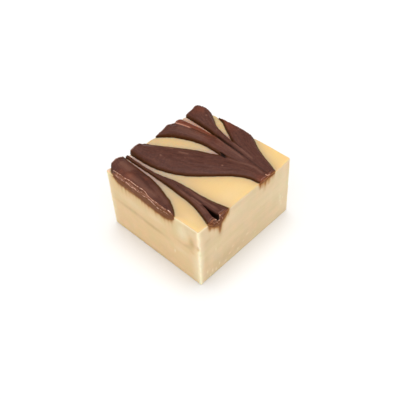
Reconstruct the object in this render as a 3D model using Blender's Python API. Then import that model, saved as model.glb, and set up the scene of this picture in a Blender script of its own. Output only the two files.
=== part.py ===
"""A cut square of pale fudge with thick tongues of chocolate swirled through its top.

The tables and the constants are in millimetres, and MM turns them into Blender's metres. +Z is up.
The origin is the middle of the footprint, on the surface that the square stands on. The tongues run
along X: they fan out from the +X face and are cut off at the -X face, at the -Y face and at the +Y face.
Each tongue is a lens. It stands proud of the pale surface by its rise and goes down into it by its sink.
"""

import math
from collections import namedtuple

import bmesh
import bpy
from mathutils import Vector, noise

MM = 0.001

# The block
WIDTH = 40.0  # along X
DEPTH = 42.8  # along Y
HEIGHT_LEFT = 24.1  # at the corner towards -X and -Y
HEIGHT_FRONT = 24.9  # towards +X and -Y
HEIGHT_RIGHT = 23.2  # towards +X and +Y
HEIGHT_BACK = 23.7  # towards -X and +Y
EDGE_RADIUS = 0.9
EDGE_SEGMENTS = 3
EDGE_ANGLE = 50  # degrees: the block is rounded where its faces turn by more than this
SMOOTH_ANGLE = 40  # degrees: the chocolate is shaded smooth where it turns by less
BLOCK_CUTS = 9  # the cuts that divide each side of the block, for its uneven walls
ON_FACE = 0.499  # a point further out than this on the unit cube is on one of its faces
WALL_WAVE = 0.15  # how far the walls sink in, halfway up
WAVE_SPAN = 11.0  # across a hollow in a wall

# The chocolate
GAP = 0.3  # between a tongue and the pocket that holds it
SHOULDER = 0.6  # radius of a tongue's edge where the knife cut it
ROW_SPACING = 1.7  # between the sections of a tongue
ACROSS = 8  # spans from a tongue's near edge to its far edge
POCKET_LIP = 0.3  # how far a pocket goes straight down before its floor curves
POCKET_RISE = 4.0  # how far a pocket's cutter stands above the pale surface
POCKET_BEYOND = 1.5  # how far it runs past the faces
THINNEST = 0.25  # a tongue's width where it ends in a tip

# The slit in the narrow tongue, a tapering fold that stays open
SLIT_START = Vector((13.4, -12.4))
SLIT_END = Vector((20.8, -13.4))
SLIT_WIDTH = 1.7
SLIT_TIP = 0.24  # its width at its start
SLIT_DEPTH = 1.6  # below the pale surface, at its end
SLIT_ROWS = 6

FUDGE_COLOUR = (0.83, 0.60, 0.31, 1.0)
FUDGE_ROUGHNESS = 0.55
CHOCOLATE_COLOUR = (0.12, 0.052, 0.037, 1.0)
CHOCOLATE_ROUGHNESS = 0.42

Station = namedtuple("Station", "x near far rise sink")
Tongue = namedtuple("Tongue", "crest roundness lift stations")

# near and far are a tongue's edges in Y at that X. One that lies past a face is where the edge would be
# if the knife had not cut the tongue off. crest is the place of the highest line from near to far, and
# lift is how far the edges lie above the pale surface.
SIDE_TONGUE = Tongue(0.5, 2.4, 0.0, [
    Station(-20.0, -21.6, -13.7, 1.8, 0.9),
    Station(-17.0, -23.5, -13.8, 2.1, 1.2),
    Station(-12.0, -25.5, -14.2, 2.2, 2.1),
    Station(-5.0, -26.5, -15.1, 2.0, 2.3),
    Station(-2.0, -26.4, -15.8, 1.7, 2.5),
    Station(1.0, -26.0, -16.7, 1.2, 2.7),
    Station(5.0, -25.0, -18.0, 0.8, 2.7),
    Station(8.0, -24.2, -19.6, 0.6, 2.1),
    Station(9.6, -23.2, -20.5, 0.5, 1.4),
    Station(10.6, -22.4, -21.0, 0.3, 0.5),
])
NARROW_TONGUE = Tongue(0.5, 2.2, 0.0, [
    Station(-20.0, -13.2, -12.2, 0.3, 0.8),
    Station(-8.0, -13.4, -12.3, 0.5, 1.0),
    Station(-4.0, -13.4, -11.7, 0.7, 1.2),
    Station(0.0, -13.8, -10.6, 0.9, 1.5),
    Station(5.0, -14.4, -10.1, 0.9, 1.8),
    Station(10.0, -14.6, -10.1, 0.8, 2.4),
    Station(15.0, -15.5, -9.4, 0.8, 2.9),
    Station(20.0, -17.1, -8.2, 0.6, 3.2),
])
LONG_TONGUE = Tongue(0.45, 2.2, 0.0, [
    Station(-20.0, -11.1, -5.2, 2.0, 1.9),
    Station(-15.0, -11.1, -2.0, 1.8, 1.9),
    Station(-10.0, -10.9, 1.1, 1.6, 1.9),
    Station(-5.0, -9.5, 4.0, 1.4, 1.9),
    Station(0.0, -7.0, 6.4, 1.2, 1.9),
    Station(4.0, -3.7, 8.7, 1.1, 1.9),
    Station(8.0, 0.1, 10.0, 1.0, 1.9),
    Station(12.0, 3.5, 10.7, 0.9, 1.9),
    Station(16.0, 5.4, 11.0, 0.8, 1.9),
    Station(20.0, 5.9, 11.2, 0.6, 1.9),
])
MIDDLE_TONGUE = Tongue(0.5, 2.0, 0.08, [
    Station(-20.0, 0.0, 10.0, 1.9, 1.7),
    Station(-16.0, 3.6, 10.4, 1.8, 1.7),
    Station(-12.0, 5.7, 10.8, 1.5, 1.7),
    Station(-8.0, 7.3, 11.3, 1.3, 1.7),
    Station(-4.0, 8.0, 12.2, 1.1, 1.7),
    Station(2.0, 7.8, 13.4, 1.0, 1.7),
    Station(8.0, 8.1, 13.0, 0.9, 1.7),
    Station(14.0, 8.7, 12.6, 0.8, 1.7),
    Station(20.0, 9.0, 12.2, 0.6, 1.7),
])
THIN_TONGUE = Tongue(0.3, 2.0, -0.06, [
    Station(-20.0, 10.0, 12.9, 1.1, 1.3),
    Station(-10.0, 11.0, 13.2, 0.9, 1.4),
    Station(-4.0, 11.7, 13.2, 0.8, 1.5),
    Station(3.0, 12.1, 12.8, 0.7, 1.5),
])
CORNER_TONGUE = Tongue(0.5, 2.2, 0.14, [
    Station(-20.0, 14.7, 24.2, 2.0, 2.0),
    Station(-17.0, 14.4, 23.6, 1.9, 2.0),
    Station(-15.0, 14.1, 22.1, 1.7, 2.0),
    Station(-12.0, 13.8, 20.0, 1.4, 2.0),
    Station(-8.0, 13.5, 17.5, 1.2, 2.0),
    Station(-4.0, 13.0, 16.3, 1.1, 2.0),
    Station(0.0, 12.5, 15.4, 1.0, 2.0),
    Station(5.0, 11.9, 14.9, 0.9, 2.0),
    Station(12.0, 11.1, 14.0, 0.8, 2.0),
    Station(20.0, 10.2, 12.9, 0.6, 2.0),
])
BACK_TONGUE = Tongue(0.5, 2.2, 0.04, [
    Station(-11.0, 21.2, 22.4, 0.5, 1.0),
    Station(-8.0, 20.2, 23.4, 0.8, 1.4),
    Station(-5.0, 18.4, 24.0, 1.0, 1.8),
    Station(-2.0, 16.6, 24.2, 1.1, 1.8),
    Station(0.5, 14.9, 24.0, 1.1, 1.8),
    Station(3.5, 13.7, 22.0, 1.1, 1.8),
    Station(5.0, 13.2, 20.7, 1.1, 1.8),
    Station(8.0, 12.5, 18.7, 1.0, 1.8),
    Station(12.0, 11.9, 16.6, 0.9, 1.8),
    Station(16.0, 11.4, 15.0, 0.8, 1.8),
    Station(20.0, 11.0, 13.3, 0.6, 1.8),
])
FAN = [LONG_TONGUE, MIDDLE_TONGUE, THIN_TONGUE, CORNER_TONGUE, BACK_TONGUE]


def clear_scene():
    for obj in list(bpy.data.objects):
        bpy.data.objects.remove(obj)


def mix(a, b, share):
    return a + (b - a) * share


def level(x, y):
    """Height of the pale surface, which slopes a little from corner to corner."""
    u = x / WIDTH + 0.5
    v = y / DEPTH + 0.5
    front = mix(HEIGHT_LEFT, HEIGHT_FRONT, u)
    back = mix(HEIGHT_BACK, HEIGHT_RIGHT, u)
    return mix(front, back, v)


def value_at(stations, field, x):
    """A station's value at any x, on a smooth curve through the stations."""
    xs = [station.x for station in stations]
    values = [getattr(station, field) for station in stations]
    x = min(max(x, xs[0]), xs[-1])
    i = min(sum(x > place for place in xs[1:-1]), len(xs) - 2)

    def slope(k):
        before = max(k - 1, 0)
        after = min(k + 1, len(xs) - 1)
        return (values[after] - values[before]) / (xs[after] - xs[before])

    span = xs[i + 1] - xs[i]
    t = (x - xs[i]) / span
    return (
        values[i] * (1 + 2 * t) * (1 - t) ** 2
        + values[i + 1] * (3 - 2 * t) * t**2
        + span * slope(i) * t * (1 - t) ** 2
        - span * slope(i + 1) * t**2 * (1 - t)
    )


def dome(share, tongue):
    """Height of the lens across its width, from 0 at its edges to 1 on its crest."""
    if share < tongue.crest:
        reach = 1 - share / tongue.crest
    else:
        reach = (share - tongue.crest) / (1 - tongue.crest)
    return (1 - min(reach, 1.0) ** tongue.roundness) ** (1 / tongue.roundness)


def shoulder_drop(distance):
    """How far the rounded edge lies below the dome, at a distance from the cut face."""
    short = SHOULDER - min(max(distance, 0.0), SHOULDER)
    return SHOULDER - math.sqrt(SHOULDER**2 - short**2)


def shares_across(count=ACROSS):
    """Places from edge to edge, closer together at the steep edges."""
    return [(1 - math.cos(math.pi * k / count)) / 2 for k in range(count + 1)]


def edges_at(tongue, x, grow):
    near = value_at(tongue.stations, "near", x) - grow
    far = value_at(tongue.stations, "far", x) + grow
    if far - near < THINNEST:
        middle = (far + near) / 2
        near = middle - THINNEST / 2
        far = middle + THINNEST / 2
    return near, far


def lens_loop(tongue, x):
    """The section of a tongue at x: over its dome, then back under it."""
    near, far = edges_at(tongue, x, -GAP / 2)
    rise = value_at(tongue.stations, "rise", x)
    sink = value_at(tongue.stations, "sink", x) - GAP / 2
    drop = shoulder_drop(WIDTH / 2 - abs(x))
    shares = shares_across()
    loop = []
    for share in shares:
        y = mix(near, far, share)
        height = max(rise * dome(share, tongue) - drop, 0.0)
        loop.append(Vector((x, y, level(x, y) + tongue.lift + height)))
    for share in reversed(shares[1:-1]):
        y = mix(near, far, share)
        loop.append(Vector((x, y, level(x, y) - sink * dome(share, tongue))))
    return loop


def pocket_loop(tongue, x):
    """The section of the pocket's cutter at x: the lens's underside, with upright walls above it."""
    near, far = edges_at(tongue, x, GAP / 2)
    sink = value_at(tongue.stations, "sink", x) + GAP / 2
    loop = []
    for share in reversed(shares_across()):
        y = mix(near, far, share)
        depth = POCKET_LIP + (sink - POCKET_LIP) * dome(share, tongue)
        loop.append(Vector((x, y, level(x, y) - depth)))
    top = max(point.z for point in loop) + POCKET_RISE
    return loop + [Vector((x, near, top)), Vector((x, far, top))]


def places_along(start, end, spacing):
    count = max(round((end - start) / spacing), 2)
    return [mix(start, end, k / count) for k in range(count + 1)]


def lofted(name, loops):
    """A closed mesh object whose skin runs through equal loops of points, with a flat face on each end."""
    bm = bmesh.new()
    rows = [[bm.verts.new(point * MM) for point in loop] for loop in loops]
    for row, following in zip(rows, rows[1:]):
        for k in range(len(row)):
            nxt = (k + 1) % len(row)
            bm.faces.new((row[k], row[nxt], following[nxt], following[k]))
    bm.faces.new(rows[0][::-1])
    bm.faces.new(rows[-1])
    bmesh.ops.recalc_face_normals(bm, faces=bm.faces)
    mesh = bpy.data.meshes.new(name)
    bm.to_mesh(mesh)
    bm.free()
    mesh.shade_smooth()
    mesh.set_sharp_from_angle(angle=math.radians(SMOOTH_ANGLE))
    obj = bpy.data.objects.new(name, mesh)
    bpy.context.scene.collection.objects.link(obj)
    return obj


def tongue_solid(name, tongue, beyond=POCKET_BEYOND):
    """A tongue that runs past the -X and the +X face, where it reaches them."""
    first = tongue.stations[0].x
    last = tongue.stations[-1].x
    xs = places_along(first, last, ROW_SPACING)
    if first <= -WIDTH / 2:
        xs[:1] = [first - beyond, first, first + SHOULDER / 3, first + SHOULDER]
    if last >= WIDTH / 2:
        xs[-1:] = [last - SHOULDER, last - SHOULDER / 3, last, last + beyond]
    return lofted(name, [lens_loop(tongue, x) for x in xs])


def pocket_cutter(name, tongue):
    first = tongue.stations[0].x
    last = tongue.stations[-1].x
    xs = places_along(first, last, ROW_SPACING)
    loops = [pocket_loop(tongue, x) for x in xs]
    start = [point - Vector((POCKET_BEYOND, 0, 0)) for point in loops[0]]
    end = [point + Vector((POCKET_BEYOND, 0, 0)) for point in loops[-1]]
    if first <= -WIDTH / 2:
        loops.insert(0, start)
    if last >= WIDTH / 2:
        loops.append(end)
    return lofted(name, loops)


def slit_cutter(name):
    """A wedge that widens and deepens towards the +X face, where it opens."""
    run = SLIT_END - SLIT_START
    side = Vector((-run.y, run.x)).normalized()
    loops = []
    for k in range(SLIT_ROWS + 1):
        share = k / SLIT_ROWS
        middle = SLIT_START + run * share
        half = mix(SLIT_TIP, SLIT_WIDTH, math.sin(share * math.pi / 2)) / 2
        surface = level(middle.x, middle.y)
        foot = surface - SLIT_DEPTH * math.sqrt(share)
        wall = mix(surface, foot, 1 / 3)
        over = surface + POCKET_RISE
        loop = []
        for across, z in ((-1, over), (-1, wall), (-1 / 3, foot), (1 / 3, foot), (1, wall), (1, over)):
            place = middle + side * across * half
            loop.append(Vector((place.x, place.y, z)))
        loops.append(loop)
    return lofted(name, loops)


def trimmer(name):
    """A box that ends at the four cut faces, and runs past the tongues above and below."""
    bm = bmesh.new()
    bmesh.ops.create_cube(bm, size=1.0)
    size = Vector((WIDTH, DEPTH, 2 * (HEIGHT_FRONT + POCKET_RISE)))
    bmesh.ops.scale(bm, vec=size * MM, verts=bm.verts)
    mesh = bpy.data.meshes.new(name)
    bm.to_mesh(mesh)
    bm.free()
    obj = bpy.data.objects.new(name, mesh)
    bpy.context.scene.collection.objects.link(obj)
    return obj


def material(name, colour, roughness):
    made = bpy.data.materials.new(name)
    made.use_nodes = True
    shader = made.node_tree.nodes["Principled BSDF"]
    shader.inputs["Base Color"].default_value = colour
    shader.inputs["Roughness"].default_value = roughness
    shader.inputs["Metallic"].default_value = 0.0
    return made


def as_helpers(name, objects):
    """Puts objects that only shape others into one collection, and keeps them out of the render."""
    group = bpy.data.collections.new(name)
    bpy.context.scene.collection.children.link(group)
    for obj in objects:
        bpy.context.scene.collection.objects.unlink(obj)
        group.objects.link(obj)
        obj.hide_render = True
        obj.display_type = "WIRE"
    return group


def boolean(obj, operation, group):
    modifier = obj.modifiers.new(operation.title(), "BOOLEAN")
    modifier.operation = operation
    modifier.operand_type = "COLLECTION"
    modifier.collection = group
    modifier.solver = "EXACT"


def block():
    """The pale block: a box whose top slopes, with uneven walls and rounded edges."""
    bm = bmesh.new()
    bmesh.ops.create_cube(bm, size=1.0)
    bmesh.ops.subdivide_edges(bm, edges=bm.edges, cuts=BLOCK_CUTS, use_grid_fill=True)
    for vert in bm.verts:
        x = vert.co.x * WIDTH
        y = vert.co.y * DEPTH
        up = vert.co.z + 0.5
        place = Vector((x, y, up * HEIGHT_FRONT)) / WAVE_SPAN
        hollow = WALL_WAVE * (0.5 + 0.5 * noise.noise(place)) * math.sin(math.pi * up)
        if abs(vert.co.x) > ON_FACE:
            x -= math.copysign(hollow, x)
        if abs(vert.co.y) > ON_FACE:
            y -= math.copysign(hollow, y)
        vert.co = Vector((x, y, up * level(x, y))) * MM
    mesh = bpy.data.meshes.new("fudge_block")
    bm.to_mesh(mesh)
    bm.free()
    obj = bpy.data.objects.new("fudge_block", mesh)
    bpy.context.scene.collection.objects.link(obj)
    bevel = obj.modifiers.new("Rounded edges", "BEVEL")
    bevel.width = EDGE_RADIUS * MM
    bevel.segments = EDGE_SEGMENTS
    bevel.limit_method = "ANGLE"
    bevel.angle_limit = math.radians(EDGE_ANGLE)
    return obj


def main():
    clear_scene()
    pale = material("fudge", FUDGE_COLOUR, FUDGE_ROUGHNESS)
    dark = material("chocolate", CHOCOLATE_COLOUR, CHOCOLATE_ROUGHNESS)

    fan = tongue_solid("chocolate_fan", FAN[0])
    others = []
    for k, tongue in enumerate(FAN[1:], 2):
        others.append(tongue_solid(f"fan_tongue_{k}", tongue, beyond=k * POCKET_BEYOND))
    boolean(fan, "UNION", as_helpers("Fan tongues", others))

    narrow = tongue_solid("chocolate_narrow_tongue", NARROW_TONGUE)
    boolean(narrow, "DIFFERENCE", as_helpers("Slit", [slit_cutter("slit")]))

    side = tongue_solid("chocolate_side_tongue", SIDE_TONGUE)

    cut_off = as_helpers("Cut faces", [trimmer("cut_faces")])
    for piece in (fan, narrow, side):
        boolean(piece, "INTERSECT", cut_off)
        piece.data.materials.append(dark)

    base = block()
    base.data.materials.append(pale)
    tongues = [*FAN, NARROW_TONGUE, SIDE_TONGUE]
    cutters = [pocket_cutter(f"pocket_{k}", tongue) for k, tongue in enumerate(tongues, 1)]
    boolean(base, "DIFFERENCE", as_helpers("Pockets", cutters))


main()
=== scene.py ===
"""The looks of a cut square of pale fudge with a chocolate swirl: its surfaces, materials, light and camera.

Lengths in the tables are millimetres, as in the CAD model, and MM turns them into metres.
"""

import math

import bpy
import numpy as np
from mathutils import Matrix, Vector, noise


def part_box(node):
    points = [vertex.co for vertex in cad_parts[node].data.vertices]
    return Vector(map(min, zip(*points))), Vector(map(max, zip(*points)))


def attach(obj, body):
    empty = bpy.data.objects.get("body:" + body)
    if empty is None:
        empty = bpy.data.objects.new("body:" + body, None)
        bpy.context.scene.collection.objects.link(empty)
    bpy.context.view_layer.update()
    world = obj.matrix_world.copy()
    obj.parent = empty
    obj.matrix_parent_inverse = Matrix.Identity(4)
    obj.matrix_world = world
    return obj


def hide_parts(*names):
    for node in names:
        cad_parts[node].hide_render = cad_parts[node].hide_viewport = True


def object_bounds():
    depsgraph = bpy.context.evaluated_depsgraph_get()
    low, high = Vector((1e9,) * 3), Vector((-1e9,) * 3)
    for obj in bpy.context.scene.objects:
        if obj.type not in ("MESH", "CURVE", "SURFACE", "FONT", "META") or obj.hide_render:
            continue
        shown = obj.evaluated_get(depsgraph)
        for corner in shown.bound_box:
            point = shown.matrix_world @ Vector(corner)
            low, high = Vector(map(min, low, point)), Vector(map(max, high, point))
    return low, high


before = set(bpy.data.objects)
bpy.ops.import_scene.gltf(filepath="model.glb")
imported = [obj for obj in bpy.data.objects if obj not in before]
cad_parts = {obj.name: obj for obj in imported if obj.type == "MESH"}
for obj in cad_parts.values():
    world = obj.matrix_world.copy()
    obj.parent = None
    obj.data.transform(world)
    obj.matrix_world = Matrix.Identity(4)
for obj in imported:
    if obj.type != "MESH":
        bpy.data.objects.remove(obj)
cad_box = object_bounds()

MM = 0.001

# The block's footprint, from the frame
LOW, HIGH = (np.array(corner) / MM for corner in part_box("fudge_block"))
WIDTH, DEPTH = (HIGH - LOW)[:2]
HIGHEST = cad_box[1][2] / MM - 0.01
FACE_X = WIDTH / 2
FACE_Y = DEPTH / 2

# Height of the pale surface at each corner
HEIGHT_LEFT = 24.1  # towards -X and -Y
HEIGHT_FRONT = 24.9  # towards +X and -Y
HEIGHT_RIGHT = 23.6  # towards +X and +Y
HEIGHT_BACK = 24.1  # towards -X and +Y

NOWHERE = 99.0  # farther off than anything on the part
WALL_ZONE = 0.8  # what lies this close to a face belongs to it


def mix(a, b, share):
    return a + (b - a) * share


def smooth_step(low, high, value):
    share = np.clip((value - low) / (high - low), 0, 1)
    return share * share * (3 - 2 * share)


def bell(distance, width):
    return np.exp(-((distance / width) ** 2))


def field(points, blob, seed=0.0):
    """Smooth noise, about -0.6 to 0.6, at each point. blob is the size of its lumps along each axis."""
    places = np.asarray(points) / blob + seed
    return np.array([noise.noise(Vector(place)) for place in places])


def level(x, y):
    """Height of the pale surface, which slopes a little from corner to corner."""
    u = x / WIDTH + 0.5
    front = mix(HEIGHT_LEFT, HEIGHT_FRONT, u)
    back = mix(HEIGHT_BACK, HEIGHT_RIGHT, u)
    return mix(front, back, y / DEPTH + 0.5)


def curve(points):
    """A smooth function through (place, value) points. It runs on straight past both ends."""
    xs, values = np.array(points, float).T
    number = np.arange(len(xs))
    before = np.maximum(number - 1, 0)
    after = np.minimum(number + 1, len(xs) - 1)
    slopes = (values[after] - values[before]) / (xs[after] - xs[before])

    def at(x):
        x = np.asarray(x, float)
        inside = np.clip(x, xs[0], xs[-1])
        i = np.clip(np.searchsorted(xs, inside) - 1, 0, len(xs) - 2)
        span = xs[i + 1] - xs[i]
        t = (inside - xs[i]) / span
        value = values[i] * (1 + 2 * t) * (1 - t) ** 2 + values[i + 1] * (3 - 2 * t) * t**2
        value += span * t * (1 - t) * (slopes[i] * (1 - t) - slopes[i + 1] * t)
        return value + np.where(x < xs[0], slopes[0], slopes[-1]) * (x - inside)

    return at


# The chocolate


WOBBLES = [(3.7, 0.045), (2.1, 0.035), (1.2, 0.02)]  # span and height of the waves in the chocolate's edges


def wobbling(edge, seed):
    """The same edge with small waves, which swell and die down along it."""

    def at(x):
        waved = edge(x)
        for span, height in WOBBLES:
            turn = math.tau * np.asarray(x) / span + seed * span
            waved = waved + height * np.sin(turn) * np.sin(0.29 * turn + seed)
        return waved

    return at


STEEP = (2.2, 0.45)  # powers for the near flank, which stands up sharply from the pale surface
GENTLE = (2.0, 0.85)  # and for the far one, which slopes down to it
THINNEST = 0.1  # a tongue is nowhere narrower or thinner


class Tongue:
    """A lens of chocolate along X. near and far are its edges in Y, where the knife has not cut them off.

    It stands proud of the pale surface by its rise and goes down into it by its sink. crest is the place
    of its highest line from near to far, foot the fullness of its underside, lift how far its edges lie
    above the pale surface, and warmth how much redder its far part is.
    """

    def __init__(self, near, far, rise, sink, crest=0.5, foot=2.2, lift=0.0, warmth=0.0):
        self.first = max(near[0][0], -FACE_X)
        self.last = min(near[-1][0], FACE_X)
        self.near = wobbling(curve(near), near[0][1])
        self.far = wobbling(curve(far), far[0][1] + 50)
        self.rise = curve(rise)
        self.sink = curve(sink)
        self.crest = crest
        self.foot = foot
        self.lift = lift
        self.warmth = warmth

    def share(self, x, y):
        return (y - self.near(x)) / np.maximum(self.far(x) - self.near(x), THINNEST)

    def dome(self, share):
        """From 0 at the edges to 1 on the crest."""
        nearer = share < self.crest
        side = np.where(nearer, self.crest, 1 - self.crest)
        reach = np.clip(np.abs(share - self.crest) / side, 0, 1)
        power = np.where(nearer, STEEP[0], GENTLE[0])
        return (1 - reach**power) ** np.where(nearer, STEEP[1], GENTLE[1])

    def keel(self, share):
        """From 0 at the edges to 1 where the underside is lowest."""
        reach = np.clip(np.abs(share - 0.5) * 2, 0, 1)
        return (1 - reach**self.foot) ** (1 / self.foot)

    def covers(self, x, y):
        share = self.share(x, y)
        return (share > 0) & (share < 1) & (x >= self.first) & (x <= self.last)

    def top(self, x, y):
        plain = level(x, y) + self.lift + self.rise(x) * self.dome(self.share(x, y))
        return mix(plain, END_PROFILE(y), bell(x + FACE_X, END_REACH))

    def underside(self, x, y):
        return level(x, y) - self.sink(x) * self.keel(self.share(x, y))


# Height of the chocolate's top, and of the pale surface between, along the -X edge: Y, then height
END_PROFILE = curve([
    (-21.4, 24.3), (-20.4, 25.1), (-19.6, 25.6), (-18.7, 25.9), (-17, 26.2), (-15.5, 25.8), (-13.9, 24.9),
    (-13.3, 24.4), (-12.7, 24.5), (-12.2, 24.4), (-11.3, 24.4), (-11.1, 25.4), (-10.2, 25.9), (-8.5, 26.2),
    (-7.6, 26.1), (-6.8, 25.6), (-5.2, 24.6), (-0.8, 24.3), (1.1, 24.7), (3, 25.1), (5, 25.9), (5.9, 25.9),
    (6.8, 25.5), (8.3, 24.9), (9, 24.7), (9.9, 25.1), (11, 24.9), (12, 24.4), (13.2, 24.1), (14, 24.7),
    (15, 25), (17.4, 25.5), (18.4, 25.9), (19.4, 25.9), (20.4, 25.5), (21.3, 24.8),
])
END_REACH = 2.6  # how far in from that edge the profile fades out

SIDE = Tongue(
    near=[(-20, -18.5), (-19.2, -19.7), (-18, -20.7), (-16.8, -21.4), (-15.5, -22.4), (-12, -25),
          (-5, -26.5), (1, -26), (5, -25), (8, -24.2), (9.6, -23.2), (10.6, -22.4)],
    far=[(-20, -14.15), (-15, -14.15), (-12, -14.3), (-5, -14.9), (0, -16.1), (3, -17.1), (5, -17.7),
         (8, -19.4), (9.6, -20.6), (10.6, -21.5)],
    rise=[(-20, 1.7), (-17, 2), (-12, 2.1), (-5, 1.9), (-2, 1.6), (1, 1.2), (5, 0.8), (8, 0.6),
          (10.6, 0.3)],
    sink=[(-20, 0.8), (-17, 1.5), (-15, 2.1), (-13, 2.3), (-10, 2.4), (-5, 2.6), (0, 3.1), (5, 3.5),
          (8, 3), (10.6, 1.3)],
    crest=0.42,
)
NARROW = Tongue(
    near=[(-20, -13.3), (-8, -13.4), (-4, -13.5), (0, -13.6), (5, -13.95), (10, -14.3), (15, -15.5),
          (20, -17.3)],
    far=[(-20, -12.3), (-8, -12.3), (-4, -11.6), (0, -10.6), (5, -10.1), (10, -9.95), (15, -9.35),
         (20, -8.2)],
    rise=[(-20, 0.3), (-8, 0.4), (0, 0.85), (10, 0.85), (20, 0.7)],
    sink=[(-20, 0.8), (-8, 1), (0, 1.5), (10, 2.4), (15, 3), (18, 3.5), (20, 4)],
    foot=1.35,
)
LONG = Tongue(
    near=[(-20, -11.2), (-15, -11.1), (-10, -10.8), (-5, -9.5), (0, -7.1), (4, -4), (8, -0.3), (12, 3.2),
          (16, 5.3), (20, 5.9)],
    far=[(-20, -5.2), (-15, -2), (-10, 1.1), (-5, 4), (0, 6.25), (4, 8.4), (8, 9.9), (12, 10.7),
         (20, 11.2)],
    rise=[(-20, 2), (-15, 1.8), (-10, 1.6), (-5, 1.4), (0, 1.2), (8, 1), (16, 0.8), (20, 0.6)],
    sink=[(-20, 1.9), (14, 1.9), (18, 0.9), (20, 0.5)],
    crest=0.42,
)
MIDDLE = Tongue(
    near=[(-20, -0.2), (-16, 3.4), (-12, 5.5), (-8, 7), (-4, 7.7), (2, 7.7), (8, 8.1), (14, 8.7), (20, 9)],
    far=[(-20, 9.3), (-16, 10), (-12, 10.7), (-8, 11.3), (-4, 12.2), (2, 13.4), (8, 13), (14, 12.6),
         (20, 12.2)],
    rise=[(-20, 1.9), (-16, 1.8), (-12, 1.5), (-4, 1.1), (8, 0.9), (20, 0.6)],
    sink=[(-20, 1.7), (14, 1.7), (18, 0.9), (20, 0.5)],
    crest=0.55,
    lift=0.08,
)
THIN = Tongue(
    near=[(-20, 8.8), (-16, 9.4), (-12, 10.3), (-8, 11), (-4, 11.6), (3, 12.1)],
    far=[(-20, 12), (-17, 12.35), (-12, 12.85), (-8, 13.05), (-4, 13.1), (3, 12.8)],
    rise=[(-20, 1.1), (-10, 0.9), (3, 0.7)],
    sink=[(-20, 1.3), (3, 1.5)],
    crest=0.3,
    warmth=1,
)
CORNER = Tongue(
    near=[(-20, 14.3), (-15, 14.2), (-8, 13.75), (-4, 13.1), (0, 12.5), (5, 11.9), (12, 11.1), (20, 10.2)],
    far=[(-20, 24.2), (-17, 23.5), (-15, 21.9), (-12, 19.7), (-8, 17.2), (-4, 16), (0, 15.1), (5, 14.7),
         (12, 14), (20, 12.9)],
    rise=[(-20, 2), (-17, 1.9), (-15, 1.7), (-12, 1.4), (-8, 1.2), (5, 0.9), (20, 0.6)],
    sink=[(-20, 2), (14, 2), (18, 0.9), (20, 0.5)],
    lift=0.1,
)
BACK = Tongue(
    near=[(-11, 21.2), (-8, 20.2), (-5, 18.4), (-2, 16.7), (0.5, 15.3), (3.5, 13.9), (8, 12.5), (12, 11.9),
          (20, 11)],
    far=[(-11, 22.4), (-8, 23.4), (-5, 24), (-2, 24.2), (0.5, 24), (3.5, 22), (5, 20.7), (8, 18.7),
         (12, 16.6), (16, 15), (20, 13.3)],
    rise=[(-11, 0.4), (-8, 0.65), (-2, 0.9), (5, 0.95), (12, 0.9), (20, 0.6)],
    sink=[(-11, 1), (-5, 1.8), (14, 1.8), (18, 0.9), (20, 0.5)],
    lift=0.04,
    warmth=0.8,
)
FAN = [LONG, MIDDLE, THIN, CORNER, BACK]
TONGUES = [SIDE, NARROW, *FAN]

ROW = 0.25  # between the sections of a tongue
ACROSS = 44  # spans from edge to edge
LAYERS = 12  # spans from the underside to the top
SHOULDER = 0.55  # radius of the edge that the knife left
KNIFE_DRAG = 0.22  # how unevenly the knife left the cut faces of the chocolate
VOXEL = 0.13  # how finely the tongues are melted into one skin
FAN_VOXEL = 0.166  # coarser, because the fan is much larger


def lattice_mesh(name, us, vs, ws, place):
    """A closed mesh: the outside of a lattice of places us, vs and ws, moved to where place puts them."""
    count = np.array([len(us), len(vs), len(ws)])
    grid = np.indices(count).reshape(3, -1).T
    outside = ((grid == 0) | (grid == count - 1)).any(axis=1)
    number = np.full(len(grid), -1)
    number[outside] = np.arange(outside.sum())
    number = number.reshape(count)
    i, j, k = grid[outside].T
    points = np.stack(place(us[i], vs[j], ws[k]), axis=1)
    faces = []
    ends = (number[0].T, number[-1])
    sides = (number[:, 0], number[:, -1].T)
    for sheet in (*ends, *sides, number[:, :, 0].T, number[:, :, -1]):
        corners = (sheet[:-1, :-1], sheet[1:, :-1], sheet[1:, 1:], sheet[:-1, 1:])
        faces.append(np.stack(corners, axis=-1).reshape(-1, 4))
    mesh = bpy.data.meshes.new(name)
    mesh.from_pydata(points * MM, [], np.concatenate(faces).tolist())
    return mesh


def add_object(name, mesh):
    obj = bpy.data.objects.new(name, mesh)
    bpy.context.scene.collection.objects.link(obj)
    return obj


def read(mesh, what):
    """Three numbers for each point of a mesh."""
    numbers = np.empty(len(mesh.vertices) * 3, np.float32)
    mesh.vertices.foreach_get(what, numbers)
    return numbers.reshape(-1, 3).astype(float)


def points_of(mesh):
    return read(mesh, "co") / MM


def move_points(mesh, points):
    mesh.vertices.foreach_set("co", (points * MM).astype(np.float32).ravel())
    mesh.update()


def keep_values(mesh, **values):
    """Stores numbers for each point, which the materials read by their names."""
    for name, numbers in values.items():
        layer = mesh.attributes.new(name, "FLOAT", "POINT")
        layer.data.foreach_set("value", np.asarray(numbers, np.float32))


def edge_spaced(low, high, step, zone, zone_step):
    """Places from low to high, closer together within zone of either end."""
    inner = np.linspace(low + zone, high - zone, max(round((high - low - 2 * zone) / step), 2) + 1)
    count = round(zone / zone_step)
    outer = np.linspace(0, zone, count + 1)[:-1]
    return np.concatenate([low + outer, inner, high - outer[::-1]])


def shoulder_drop(distance):
    """How far the edge that the knife left lies below the dome, at a distance from the cut face."""
    short = SHOULDER - np.clip(distance, 0, SHOULDER)
    return SHOULDER - np.sqrt(SHOULDER**2 - short**2)


def lowest(tongues, x, y):
    """Height of the chocolate's underside, or NOWHERE where there is none."""
    feet = [np.where(each.covers(x, y), each.underside(x, y), NOWHERE) for each in tongues]
    return np.min(feet, axis=0)


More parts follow.
